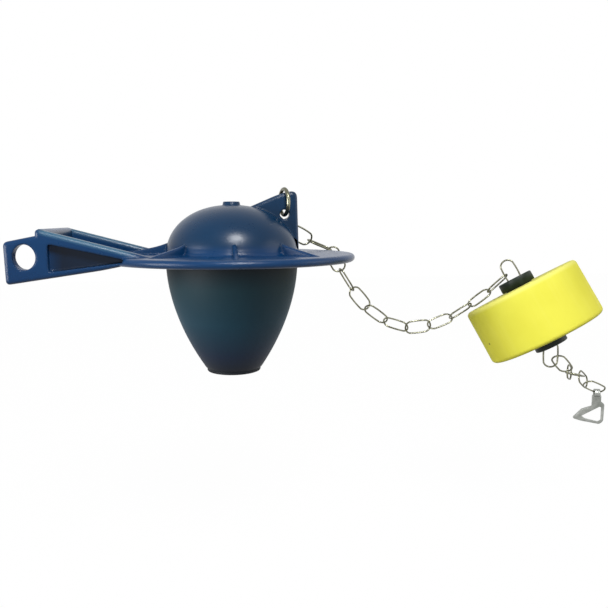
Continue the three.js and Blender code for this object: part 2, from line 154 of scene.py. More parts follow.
def plate(corners, thickness, rounding, steps=6):
    # the outline at each depth of the plate, shrunk towards both faces by r(1 - sin) as the edge rolls over
    roll = np.linspace(0, np.pi / 2, steps)
    drawIn = rounding * (1 - np.sin(roll))
    depth = thickness / 2 - rounding * (1 - np.cos(roll))
    drawIn = np.concatenate([drawIn, drawIn[::-1]])
    depth = np.concatenate([depth, -depth[::-1]])
    flat = np.stack([roundedOutline(shrunk(corners, inset)) for inset in drawIn])
    outline = flat[len(flat) // 2]
    area = np.sum(outline[:, 0] * np.roll(outline[:, 1], -1) - np.roll(outline[:, 0], -1) * outline[:, 1])
    y = np.broadcast_to(depth[:, None, None], flat[..., :1].shape)
    points = np.concatenate([flat[..., :1], y, flat[..., 1:]], -1).reshape(-1, 3)
    rows, columns = len(depth), len(outline)
    faces = gridFaces(rows, columns)
    faces += [list(range(columns))[::-1], list(range((rows - 1) * columns, rows * columns))]
    if area < 0:
        faces = [face[::-1] for face in faces]
    return points, faces


def ovalBar(x, z, width, height, length, steps=72):
    # an oval drawn along Y, for cutting a hole
    angle = np.linspace(0, 2 * np.pi, steps, endpoint=False)
    oval = np.stack([x + width / 2 * np.cos(angle), 0 * angle, z + height / 2 * np.sin(angle)], 1)
    points = np.concatenate([oval + [0, length / 2, 0], oval - [0, length / 2, 0]])
    return points, gridFaces(2, steps) + [list(range(steps))[::-1], list(range(steps, 2 * steps))]


def turned(points, degrees, shift):
    # turned about Z, then moved
    a = math.radians(degrees)
    turn = np.array([[math.cos(a), -math.sin(a), 0], [math.sin(a), math.cos(a), 0], [0, 0, 1]])
    return np.asarray(points) @ turn.T + np.asarray(shift)


def outwards(piece):
    # doubles merged and faces turned outwards
    whole = bmesh.new()
    whole.from_mesh(piece.data)
    bmesh.ops.remove_doubles(whole, verts=whole.verts, dist=2e-7)
    bmesh.ops.recalc_face_normals(whole, faces=whole.faces)
    whole.to_mesh(piece.data)
    whole.free()


def settle(piece):
    # the piece's modifiers become its mesh
    shaped = piece.evaluated_get(bpy.context.evaluated_depsgraph_get())
    mesh = bpy.data.meshes.new_from_object(shaped)
    piece.modifiers.clear()
    piece.data = mesh


def combine(first, others, operation):
    # each other solid is joined to the first or cut out of it, and then deleted
    for other in others:
        outwards(other)
        step = first.modifiers.new("step", "BOOLEAN")
        step.operation = operation
        step.solver = "MANIFOLD"
        step.object = other
        settle(first)
        bpy.data.objects.remove(other)


def smoothed(piece, sharpAt):
    # shaded smooth, except where faces meet at more than sharpAt degrees
    piece.data.shade_smooth()
    piece.data.set_sharp_from_angle(angle=math.radians(sharpAt))


def nodePoints(node):
    # the node's corners in millimetres, each one once
    mesh = nodes[node].data
    points = np.empty(len(mesh.vertices) * 3)
    mesh.vertices.foreach_get("co", points)
    return np.unique(np.round(points.reshape(-1, 3), 8), axis=0) / mm


def nodeAxes(node):
    # centre of the node's corners and its three main directions, the longest spread first
    points = nodePoints(node)
    centre = points.mean(0)
    spread, directions = np.linalg.eigh(np.cov((points - centre).T))
    return centre, directions[:, ::-1].T, spread[::-1]


def ontoNode(points, node):
    # local x along the node's longest direction and local z across its plane
    centre, axes, _ = nodeAxes(node)
    axes[2] = np.cross(axes[0], axes[1])
    return points @ axes + centre


# Flapper moulding: shell, ribs, lug, arms and cross wall, joined and then cut

flapper = {
    "bulb": (65.2, -2.0),  # x of the bulb's axis and z of the flange's middle, mm from the peg axis
    "flangeRadius": 43.88,
    "flangeThickness": 2.68,
    "shellRadius": 23.43,
    "wall": 2,
    "domeHeight": 18.63,
    "domeFullness": 2.15,
    "fillet": 1.6,
    "bulbDepth": 39.6,
    "mouthRadius": 10.2,
    "lipRadius": 9.6,
    "lipHeight": 1.6,
    "boss": (3, 1.1, 1),  # radius, height, wall
    "ribs": 8,
    "rib": (1.4, 4.1, 38.5),  # thickness, height, reach
    "lug": (3.36, 24.1, 23.2),  # thickness, reach, height
    "lugHole": (18.9, 15.2, 1.7),
    "armSpacing": 43.4,
    "armThickness": 4,
    "armTop": 10.9,
    "armSlope": 0.27,
    "pocketDepth": 2.4,
    "wallX": -61.4,
    "wallThickness": 2.6,
    "wallBottom": -4.2,
    "ear": (6.2, 8.6, -6.7),  # reach, top, bottom
    "pegHole": (6.9, 8.0),
    "underFillet": 0.9,
    "rounding": {"rib": 0.45, "lug": 1.3, "arm": 1.15, "wall": 0.02, "pocket": 0.3},
    "segments": 176,
    "steps": {"dome": 56, "bulb": 44, "innerDome": 26, "innerBulb": 22, "rim": 15, "fillet": 9},
    "sharpAt": 34,  # degrees
}


def domeLine(inset, steps):
    # superellipse from the top to the flange: r = R sin^(2/n), z = H cos^(2/n)
    angle = np.linspace(0, np.pi / 2 * 0.985, steps)
    power = 2 / flapper["domeFullness"]
    return np.stack([
        (flapper["shellRadius"] - inset) * np.sin(angle) ** power,
        (flapper["domeHeight"] - inset) * np.cos(angle) ** power,
    ], 1)


def bulbLine(inset, steps):
    # cubic curve from the flange down to the mouth
    r, depth = flapper["shellRadius"], flapper["bulbDepth"]
    control = np.array([
        [r - inset, 0], [r * 1.009 - inset, -depth * 0.32],
        [r * 0.8 - inset, -depth * 0.68], [flapper["mouthRadius"] - inset, -depth],
    ])
    t = np.linspace(0, 1, steps)[:, None]
    weight = np.concatenate([(1 - t) ** 3, 3 * (1 - t) ** 2 * t, 3 * (1 - t) * t**2, t**3], 1)
    return weight @ control


def shellProfile():
    # down the outside, round the lip and back up the inside, between two tiny circles at the poles
    pole = 0.02
    steps = flapper["steps"]
    half = flapper["flangeThickness"] / 2
    radius, height, wall = flapper["boss"]
    top = flapper["domeHeight"]
    rimAngle = np.linspace(0, np.pi, steps["rim"])
    rim = np.stack([flapper["flangeRadius"] - half + half * np.sin(rimAngle), half * np.cos(rimAngle)], 1)
    turn = np.linspace(0, np.pi / 2, steps["fillet"])
    fillet = np.stack([
        flapper["shellRadius"] + flapper["fillet"] * (1 - np.cos(turn)),
        half + flapper["fillet"] * (1 - np.sin(turn)),
    ], 1)
    dome = domeLine(0, steps["dome"])
    dome = dome[(dome[:, 0] > radius + 0.5) & (dome[:, 1] > half + flapper["fillet"])]
    bulb = bulbLine(0, steps["bulb"])
    bulb = bulb[bulb[:, 1] < -half - 1.2]
    under = np.stack([
        flapper["shellRadius"] + flapper["underFillet"] * (1 - np.sin(turn)),
        -half - flapper["underFillet"] * (1 - np.cos(turn)),
    ], 1)
    innerDome = domeLine(flapper["wall"], steps["innerDome"])
    innerBulb = bulbLine(flapper["wall"], steps["innerBulb"])
    inside = np.concatenate([innerDome, innerBulb[1:]])[::-1]
    throat = flapper["mouthRadius"] - flapper["wall"] - 0.2
    lip = -flapper["bulbDepth"] - flapper["lipHeight"]
    bulbFoot, lipSide = -flapper["bulbDepth"], flapper["lipRadius"]
    bossFloor, bossTop = top + height / 2, top + height
    boss = [
        [pole, bossFloor], [radius - wall - 0.3, bossFloor], [radius - wall, bossFloor + 0.1],
        [radius - wall * 0.8, bossTop], [radius - wall * 0.2, bossTop], [radius, bossTop - 0.35],
        [radius + 0.1, top + 0.1], [radius + 0.35, top - 0.15],
    ]
    mouth = [
        [flapper["mouthRadius"] - 0.35, bulbFoot - 0.25], [lipSide, bulbFoot - 0.4],
        [lipSide + 0.1, lip + 0.5], [lipSide - 0.1, lip + 0.15], [lipSide - 0.5, lip],
        [throat + 0.3, lip], [throat, lip + 0.3], [throat, bulbFoot - 0.3],
    ]
    inside[-1, 0] = pole
    return np.concatenate([boss, dome, fillet, rim, under, bulb, mouth, inside])


def armOutline():
    # corners [x, z, r] of an arm with its ear, and of its pocket, about the middle of the flange
    half = flapper["flangeThickness"] / 2
    reach, earTop, earBottom = flapper["ear"]
    x, top, slope = flapper["wallX"], flapper["armTop"], flapper["armSlope"]
    earEnd = -flapper["bulb"][0] - reach
    root = -math.sqrt(flapper["flangeRadius"] ** 2 - (flapper["armSpacing"] / 2) ** 2)
    runOut = x + (top - half) / slope
    start = x - flapper["wallThickness"] / 2 - reach

    def bottomAt(at):  # straight from the ear to the flange's root
        return earBottom + (at - start) / (root - start) * (-half - 0.6 - earBottom)

    def topAt(at):  # the sloping ridge
        return top - slope * (at - x)

    outline = [
        [earEnd, earTop - 1.9, 1.5], [x - 0.4, earTop, 0.2], [x - 0.4, top, 1.7],
        [runOut, half - 0.1, 1.0], [runOut, -half + 0.15, 1.0], [root + 3, -half + 0.15, 0.5],
        [root - 4, bottomAt(root - 4), 2.5], [earEnd + 0.3, earBottom, 1.5],
    ]
    left, right = x + 3.3, root + 4
    pocket = [
        [left, topAt(left) - 3.9, 1.3], [right, topAt(right) - 2.8, 0.4],
        [right - 0.2, 0, 0.3], [left, bottomAt(left) + 2.2, 1.3],
    ]
    return outline, pocket


def makeFlapper():
    # the turned shell and the plates are joined, and then the pockets and holes are cut out
    bulbX, flangeZ = flapper["bulb"]
    half = flapper["flangeThickness"] / 2
    shift = np.array([bulbX, 0, flangeZ])
    rounding = flapper["rounding"]
    points, faces = revolve(shellProfile(), flapper["segments"])
    body = addMesh("flapperMoulding", points + shift, faces, "flapper")
    outwards(body)

    ribThickness, height, reach = flapper["rib"]
    inner = flapper["shellRadius"] - flapper["wall"] / 2
    ribShape = [
        [inner, 0.3, 0], [reach + 0.3, 0.3, 0], [reach, half + 0.1, 0.4],
        [flapper["shellRadius"] + 2.2, half + height * 0.72, 1.8], [inner, half + height, 0],
    ]
    points, faces = plate(ribShape, ribThickness, rounding["rib"])
    spokes = [i * 360 / flapper["ribs"] for i in range(1, flapper["ribs"])]  # the lug stands at 0 degrees
    added = [addMesh("rib", turned(points, a, shift), faces, None) for a in spokes]

    lugThickness, reach, height = flapper["lug"]
    inner = flapper["shellRadius"] * 0.12
    top = flapper["domeHeight"]
    holeX, holeZ, holeRadius = flapper["lugHole"]
    lugShape = [
        [inner, top - 1.7, 0], [inner, top - 1.2, 0], [inner + 3, top - 1, 1.5],
        [holeX - 1.5, height - 0.6, 3], [reach - 0.6, height + 0.7, 2.9], [reach, half, 0],
        [flapper["shellRadius"] - 1, half, 0], [flapper["shellRadius"] - 1.2, half + 4, 0],
    ]
    points, faces = plate(lugShape, lugThickness, rounding["lug"])
    added.append(addMesh("lug", points + shift, faces, None))

    armShape, pocketShape = armOutline()
    offset = flapper["armSpacing"] / 2
    points, faces = plate(armShape, flapper["armThickness"], rounding["arm"])
    added += [addMesh("arm", points + shift + [0, side * offset, 0], faces, None) for side in (-1, 1)]
    x, top, slope = flapper["wallX"], flapper["armTop"], flapper["armSlope"]
    across = flapper["wallThickness"]
    wallShape = [
        [x, top, 1], [x + across, top - slope * across, 1],
        [x + across, flapper["wallBottom"], 0.8], [x, flapper["wallBottom"], 0.8],
    ]
    points, faces = plate(wallShape, flapper["armSpacing"], rounding["wall"])
    added.append(addMesh("crossWall", points + shift, faces, None))
    combine(body, added, "UNION")

    face = (flapper["armSpacing"] + flapper["armThickness"]) / 2
    points, faces = plate(pocketShape, 2 * flapper["pocketDepth"], rounding["pocket"])
    cutters = [addMesh("pocket", points + shift + [0, side * face, 0], faces, None) for side in (-1, 1)]
    points, faces = ovalBar(0, 0, *flapper["pegHole"], 2 * face + 4)
    cutters.append(addMesh("pegHole", points, faces, None))
    points, faces = ovalBar(holeX, holeZ, 2 * holeRadius, 2 * holeRadius, 2 * lugThickness)
    cutters.append(addMesh("lugHole", points + shift, faces, None))
    combine(body, cutters, "DIFFERENCE")
    smoothed(body, flapper["sharpAt"])
    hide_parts("flapper_body")
    return body


flapperPiece = makeFlapper()
print("flapper moulding:", len(flapperPiece.data.polygons), "faces")


# Chain: each link is a wire ring drawn out along its length, taken from where its solid lies

chain = {
    "wire": 0.69,
    "pitch": 9.45,
    "play": 0.2,
    "solidWire": 0.75,
    "width": 6.3,
    "bow": 0.03,  # how far the long sides bulge
    "seam": 0.2,  # how far the butt joint is pinched in
    "seamWidth": 0.3,
    "around": 84,
    "section": 12,
    "slope": 3.2,  # how quickly the round ends turn into the straight sides
    "endPower": 0.96,  # how round the ends are
    "sharpAt": 60,  # degrees
}


def sweep(path, radius, section):
    # a circle carried round a closed path: centre + r (cos a * inward + sin a * aside)
    ahead = np.roll(path, -1, 0) - np.roll(path, 1, 0)
    ahead /= np.linalg.norm(ahead, axis=1, keepdims=True)
    aside = np.array([0, 0, 1.0])
    inward = np.cross(aside, ahead)
    angle = np.linspace(0, 2 * np.pi, section, endpoint=False)[None, :, None]
    ring = np.cos(angle) * inward[:, None] + np.sin(angle) * aside
    points = path[:, None] + ring * np.reshape(radius, (-1, 1, 1))
    return points.reshape(-1, 3), gridFaces(len(path), section, closeRows=True)


def linkPath():
    # half circles at both ends and long sides that bow out by a cosine
    span = chain["pitch"] + chain["solidWire"] + chain["play"]
    end = (chain["width"] - chain["solidWire"]) / 2
    t = np.linspace(0, 2 * np.pi, chain["around"], endpoint=False) + np.pi / chain["around"]
    side = span / 2 - end
    bend = np.sign(np.cos(t)) * np.abs(np.cos(t)) ** chain["endPower"]
    x = end * bend + np.clip(np.cos(t) * chain["slope"], -1, 1) * side
    y = end * np.sin(t) + np.sign(np.sin(t)) * chain["bow"] * np.cos(np.clip(x / side, -1, 1) * np.pi / 2)
    return np.stack([x, y, 0 * x], 1)


def makeLinks(names):
    # the wire is a little thinner at the butt joint, in the middle of one long side
    path = linkPath()
    seam = 1 - chain["seam"] * np.exp(-((path[:, 0] / chain["seamWidth"]) ** 2)) * (path[:, 1] > 0)
    points, faces = sweep(path, chain["wire"] / 2 * seam, chain["section"])
    for name in names:
        wireName = name.replace("_", "") + "Wire"
        placed = ontoNode(points, name)
        piece = addMesh(wireName, placed, faces, bodyOf[name], chain["sharpAt"])
        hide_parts(name)
        yield piece


linkPieces = list(makeLinks([name for name in nodes if "link" in name]))
print("chain links:", len(linkPieces))


# Ring through the lug

lugRing = {"wire": 1.4, "radius": 4.6, "around": 96, "section": 18, "sharpAt": 60}


def makeRing():
    # a round wire carried round a circle
    angle = np.linspace(0, 2 * np.pi, lugRing["around"], endpoint=False)
    path = np.stack([np.cos(angle), np.sin(angle), 0 * angle], 1) * lugRing["radius"]
    points, faces = sweep(path, np.full(lugRing["around"], lugRing["wire"] / 2), lugRing["section"])
    placed = ontoNode(points, "lug_ring")
    piece = addMesh("lugRingWire", placed, faces, bodyOf["lug_ring"], lugRing["sharpAt"])
    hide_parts("lug_ring")
    return piece


ringPiece = makeRing()
print("ring made")


# Float, bush and washer, all turned about the float's axis

floatParts = {
    "diameter": 47.5,
    "height": 23.3,
    "bore": 5.8,
    "edge": 1.7,
    "segments": 160,
    "bushSegments": 96,
    "bush": (4.4, 5.45, 7, 3.8, 0.6),  # bore, sleeve, head radius, head height, head edge
    "washer": (5.8, 6.7, 3.4, 0.45),  # bore, radius, thickness, edge
    "sharpAt": 50,  # degrees
}


def roundedTube(inner, outer, low, high, edge, steps=8, rows=9, rings=5):
    # an oblong profile whose outer corners are quarter circles, with rows up the side and rings on each face
    a = np.linspace(0, np.pi / 2, steps)
    under = np.stack([outer - edge + edge * np.sin(a), low + edge - edge * np.cos(a)], 1)
    over = np.stack([outer - edge + edge * np.cos(a), high - edge + edge * np.sin(a)], 1)
    side = np.stack([np.full(rows, float(outer)), np.linspace(low + edge, high - edge, rows + 2)[1:-1]], 1)
    face = np.linspace(0, 1, rings + 2)[1:-1, None] * [outer - edge - inner, 0]
    return np.concatenate([
        [[inner, low]], [inner, low] + face, under, side, over, ([inner, high] + face)[::-1], [[inner, high]],
    ])


def alongAxis(points, centre, axis):
    # local z goes along the axis, and local x stays level
    across = np.cross(axis, [0, 0, 1.0])
    across /= np.linalg.norm(across)
    return points @ np.stack([across, np.cross(axis, across), axis]) + centre


def floatLine():
    # centre of the float, and the one direction whose spread differs from the other two
    centre, axes, spread = nodeAxes("float")
    odd = np.argmax(np.abs(spread - np.median(spread)))
    return centre, axes[odd] * np.sign(axes[odd][2])


def makeFloat():
    # three profiles turned about the float's axis, with heights counted from the float's centre
    centre, axis = floatLine()
    pieces = []

    def turnedPiece(name, node, profile, segments):
        points, faces = revolve(profile, segments)
        piece = addMesh(name, alongAxis(points, centre, axis), faces, bodyOf[node])
        outwards(piece)
        smoothed(piece, floatParts["sharpAt"])
        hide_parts(node)
        pieces.append(piece)

    half = floatParts["height"] / 2
    profile = roundedTube(floatParts["bore"], floatParts["diameter"] / 2, -half, half, floatParts["edge"])
    turnedPiece("foamFloat", "float", profile, floatParts["segments"])

    bore, sleeve, headRadius, headHeight, edge = floatParts["bush"]
    along = nodePoints("float_bush") @ axis - centre @ axis
    end, headTop = along.min(), along.max()
    seat = headTop - headHeight
    a = np.linspace(0, np.pi / 2, 6)
    rim = np.stack([headRadius - edge + edge * np.sin(a), headTop - edge + edge * np.cos(a)], 1)
    profile = np.concatenate([
        [[bore, end], [sleeve, end], [sleeve, seat], [headRadius - 0.2, seat], [headRadius, seat + 0.2]],
        rim[::-1],
        [[bore + 0.4, headTop], [bore, headTop - 0.4]],
    ])
    turnedPiece("floatBush", "float_bush", profile, floatParts["bushSegments"])

    bore, radius, thickness, edge = floatParts["washer"]
    low = (nodePoints("float_washer") @ axis).min() - centre @ axis
    profile = roundedTube(bore, radius, low, low + thickness, edge)
    turnedPiece("floatWasher", "float_washer", profile, floatParts["bushSegments"])
    return pieces


floatPiece, bushPiece, washerPiece = makeFloat()
print("float, bush and washer made")


# Clip: the shape of its own node, merged, with its edges eased

clip = {"edge": 0.14, "edgeSteps": 2, "flatTo": 1, "easedFrom": 40, "sharpAt": 35}  # mm, steps and degrees


def makeClip():
    # flat neighbours become one face, and then each edge sharper than easedFrom gets a small round
    mesh = nodes["chain_clip"].data.copy()
    whole = bmesh.new()
    whole.from_mesh(mesh)
    bmesh.ops.remove_doubles(whole, verts=whole.verts, dist=1e-6)
    flat = math.radians(clip["flatTo"])
    bmesh.ops.dissolve_limit(whole, angle_limit=flat, verts=whole.verts, edges=whole.edges)
    bmesh.ops.recalc_face_normals(whole, faces=whole.faces)
    whole.to_mesh(mesh)
    whole.free()
    piece = bpy.data.objects.new("stampedClip", mesh)
    bpy.context.scene.collection.objects.link(piece)
    eased = piece.modifiers.new("eased", "BEVEL")
    eased.width = clip["edge"] * mm
    eased.segments = clip["edgeSteps"]
    eased.limit_method = "ANGLE"
    eased.angle_limit = math.radians(clip["easedFrom"])
    settle(piece)
    smoothed(piece, clip["sharpAt"])
    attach(piece, bodyOf["chain_clip"])
    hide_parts("chain_clip")
    return piece


clipPiece = makeClip()
print("clip:", len(clipPiece.data.polygons), "faces")


# Materials

def newMaterial(name):
    material = bpy.data.materials.new(name)
    material.use_nodes = True
    tree = material.node_tree
    return material, tree, tree.nodes["Principled BSDF"]


def objectPlace(tree):
    # where a point lies on the object, in m
    return tree.nodes.new("ShaderNodeTexCoord").outputs["Object"]


def feed(tree, sockets, things):
    # a number or a vector is set on its socket, and an output is linked to it
    for socket, thing in zip(sockets, things):
        if isinstance(thing, bpy.types.NodeSocket):
            tree.links.new(thing, socket)
        else:
            socket.default_value = thing


def noiseAt(tree, scale, detail=3.0, rough=0.55):
    # from 0 to 1, with about as many patches to the metre as the scale
    noise = tree.nodes.new("ShaderNodeTexNoise")
    sockets = [noise.inputs[name] for name in ("Vector", "Scale", "Detail", "Roughness")]
    feed(tree, sockets, (objectPlace(tree), scale, detail, rough))
    return noise.outputs["Fac"]


def ramp(tree, value, stops):
    # each stop is (place from 0 to 1, colour)
    node = tree.nodes.new("ShaderNodeValToRGB")
    ends = node.color_ramp.elements[0], node.color_ramp.elements[-1]
    for end, (place, colour) in zip(ends, (stops[0], stops[-1])):
        end.position, end.color = place, (*colour, 1)
    for place, colour in stops[1:-1]:
        node.color_ramp.elements.new(place).color = (*colour, 1)
    tree.links.new(value, node.inputs["Fac"])
    return node.outputs["Color"]


def mapped(tree, value, low, high, toLow, toHigh):
    # low..high becomes toLow..toHigh, and stays level outside
    node = tree.nodes.new("ShaderNodeMapRange")
    sockets = [node.inputs[name] for name in ("Value", "From Min", "From Max", "To Min", "To Max")]
    feed(tree, sockets, (value, low, high, toLow, toHigh))
    return node.outputs["Result"]


def fade(tree, value, start, end, strength=1):
    # 0 at the start to the strength at the end, both in mm
    return mapped(tree, value, start * mm, end * mm, 0, strength)


def calc(tree, operation, first, second=0.0):
    # each of the two is a number or an output
    node = tree.nodes.new("ShaderNodeMath")
    node.operation = operation
    feed(tree, node.inputs, (first, second))
    return node.outputs[0]


def vectorCalc(tree, operation, first, second):
    # each of the two is a triple or an output
    node = tree.nodes.new("ShaderNodeVectorMath")
    node.operation = operation
    feed(tree, node.inputs, (first, second))
    return node.outputs["Value" if operation in ("DISTANCE", "DOT_PRODUCT") else "Vector"]


def blended(tree, factor, first, second, kind="MIX"):
    # colours as triples, or linked
    node = tree.nodes.new("ShaderNodeMix")
    node.data_type = "RGBA"
    node.blend_type = kind
    things = [factor] + [(*thing, 1) if isinstance(thing, tuple) else thing for thing in (first, second)]
    feed(tree, (node.inputs["Factor"], node.inputs["A"], node.inputs["B"]), things)
    return node.outputs["Result"]


def bumped(tree, shader, height, distance, strength, normal=None):
    # the shader's normal is tilted by the slope of the height, whose full depth is the distance in mm
    node = tree.nodes.new("ShaderNodeBump")
    sockets = [node.inputs[name] for name in ("Height", "Distance", "Strength")]
    feed(tree, sockets, (height, distance * mm, strength))
    if normal is not None:
        tree.links.new(normal, node.inputs["Normal"])
    tree.links.new(node.outputs["Normal"], shader.inputs["Normal"])


rubber = {
    "top": (0.0002, 0.020, 0.070),
    "pale": (0.0004, 0.029, 0.092),
    # painted shade on the dome, and on the ribs and lug close to it, darker than the flange
    "dome": (0.0002, 0.014, 0.036),
    "shade": (0.0001, 0.005, 0.016),  # painted shade in the arms' pockets, where the ledge above shadows them
    "worn": (0.05, 0.13, 0.19),  # painted highlight along the arms' ridges, where their rounded tops catch the light
    "low": [  # bulb and the flange's underside, from the lip up; its top end is a painted shadow under the flange, and it darkens towards the lip
        (0.0, (0.0002, 0.0006, 0.001)), (0.2, (0.0004, 0.007, 0.022)), (0.5, (0.004, 0.030, 0.050)),
        (0.8, (0.004, 0.024, 0.034)), (1.0, (0.0002, 0.002, 0.004)),
    ],
    "lowSpan": (-44, -4),  # mm
    "wornStrength": 0.6,
    "domeStrength": 0.75,
    "roughTop": 0.26,
    "roughLow": 0.58,
    "specular": 0.22,
    "blend": 1.1,  # mm, how far inner corners are softened
    "grain": (900, 0.02, 0.6),  # scale, depth in mm, strength
    "mottle": (180, 4),  # scale and detail
    "cloud": (45, 2),
}

# Where each shade of the rubber lies: a measure, and where it fades in from and to, in mm. Across is the
# distance from the bulb's axis, side that from the middle plane, ridge the height over the arms' upper edge
# the dome's and the pockets' shades are painted shade, and the ridges' is a painted highlight
rubberShades = {
    "below": [("across", 25.5, 24.0), ("z", -3.0, -4.8)],
    # painted shade on the dome
    "domed": [("across", 25.0, 22.5), ("z", 0.5, 3.0)],
    # painted highlight along the arms' ridges
    "worn": [("ridge", -2.0, -0.7), ("side", 19.0, 20.0), ("x", 4.0, 6.0), ("x", 34.5, 30.0)],
    # painted shade in the arms' pockets
    "pocket": [
        ("side", 23.3, 22.6), ("side", 20.4, 20.9),
        ("x", 6.5, 11.0), ("x", 33.0, 30.0), ("ridge", -2.4, -3.2),
    ],
}


def rubberMasks(tree):
    # a mask is the product of its fades, and the arm's upper edge is z = top - slope (x - start)
    parts = tree.nodes.new("ShaderNodeSeparateXYZ")
    tree.links.new(objectPlace(tree), parts.inputs["Vector"])
    x, y, z = parts.outputs
    bulbX, flangeZ = flapper["bulb"]
    level = vectorCalc(tree, "MULTIPLY", objectPlace(tree), (1, 1, 0))
    ridgeAtZero = flapper["armTop"] + flangeZ + flapper["armSlope"] * (flapper["wallX"] + bulbX)
    sloped = calc(tree, "ADD", calc(tree, "MULTIPLY", x, flapper["armSlope"]), z)
    measures = {
        "x": x,
        "z": z,
        "side": calc(tree, "ABSOLUTE", y),
        "across": vectorCalc(tree, "DISTANCE", level, (bulbX * mm, 0, 0)),
        "ridge": calc(tree, "SUBTRACT", sloped, ridgeAtZero * mm),
    }
    masks = {}
    for shade, limits in rubberShades.items():
        masks[shade] = 1.0
        for measure, start, end in limits:
            masks[shade] = calc(tree, "MULTIPLY", masks[shade], fade(tree, measures[measure], start, end))
    return masks, z


def rubberMaterial():
    # clouds of a paler blue, painted shade on the dome and in the pockets, a painted highlight along the
    # ridges, and a rougher ramp for what hangs below, with a painted shadow under the flange
    material, tree, shader = newMaterial("blueRubber")
    masks, z = rubberMasks(tree)
    # the dome's painted shade
    domed = calc(tree, "MULTIPLY", masks["domed"], rubber["domeStrength"])
    # the ridges' painted highlight
    worn = calc(tree, "MULTIPLY", masks["worn"], rubber["wornStrength"])
    mottle = noiseAt(tree, *rubber["mottle"])
    cloud = noiseAt(tree, *rubber["cloud"])
    top = blended(tree, mapped(tree, cloud, 0.35, 0.7, 0, 0.55), rubber["top"], rubber["pale"])
    top = blended(tree, domed, top, rubber["dome"])
    top = blended(tree, worn, top, rubber["worn"])
    # the ramp's near black top end is a painted shadow under the flange
    low = ramp(tree, fade(tree, z, *rubber["lowSpan"]), rubber["low"])
    # the pockets' painted shade goes over all the rest
    colour = blended(tree, masks["pocket"], blended(tree, masks["below"], top, low), rubber["shade"])
    colour = blended(tree, mapped(tree, mottle, 0.3, 0.7, 0.0, 0.22), colour, (0.5, 0.5, 0.5), "SOFT_LIGHT")
    tree.links.new(colour, shader.inputs["Base Color"])
    rough = blended(tree, masks["below"], (rubber["roughTop"],) * 3, (rubber["roughLow"],) * 3)
    rough = blended(tree, mapped(tree, mottle, 0.3, 0.75, 0, 0.16), rough, (0.75,) * 3)
    tree.links.new(rough, shader.inputs["Roughness"])
    soft = tree.nodes.new("ShaderNodeBevel")
    soft.samples = 6
    soft.inputs["Radius"].default_value = rubber["blend"] * mm
    scale, depth, strength = rubber["grain"]
    bumped(tree, shader, noiseAt(tree, scale), depth, strength, soft.outputs["Normal"])
    shader.inputs["Specular IOR Level"].default_value = rubber["specular"]
    return material


steels = {
    "chainSteel": {"colour": (0.22, 0.22, 0.16), "dark": (0.06, 0.06, 0.035), "rough": 0.24},
    "clipSteel": {"colour": (0.36, 0.37, 0.35), "dark": (0.20, 0.21, 0.19), "rough": 0.34},
}


def steelMaterial(name):
    # stains darken the steel, and a fine grain makes it now smoother, now rougher
    material, tree, shader = newMaterial(name)
    rough = steels[name]["rough"]
    shader.inputs["Metallic"].default_value = 1
    grain = noiseAt(tree, 700, 4)
    stained = mapped(tree, noiseAt(tree, 260), 0.4, 0.72, 0, 0.85)
    colour = blended(tree, stained, steels[name]["colour"], steels[name]["dark"])
    tree.links.new(colour, shader.inputs["Base Color"])
    tree.links.new(mapped(tree, grain, 0.3, 0.7, rough - 0.08, rough + 0.14), shader.inputs["Roughness"])
    bumped(tree, shader, grain, 0.01, 0.5)
    return material


foam = {
    "colour": (0.51, 0.49, 0.030),
    "pale": (0.56, 0.54, 0.045),
    "warm": (0.52, 0.47, 0.028),
    "streak": (0.58, 0.56, 0.10),
    "edge": (0.58, 0.56, 0.13),
    "dark": (0.10, 0.09, 0.02),
    "speck": (166.75, 6.99, -38.12),  # mm
    "speckFade": (0.6, 0.3),  # mm from its middle
    "edgeFade": (-2.2, -0.8),  # mm from the top
    "streakScale": 420,
    "streakDraw": 0.93,  # share of the height that is taken away
    "streakFrom": (198, 212),  # mm along X, where the streaks grow from faint to strong
    "pores": (1500, 2),  # scale and detail
    "cloud": (60, 4),
    "patch": (26, 2),
    "rough": 0.78,
}


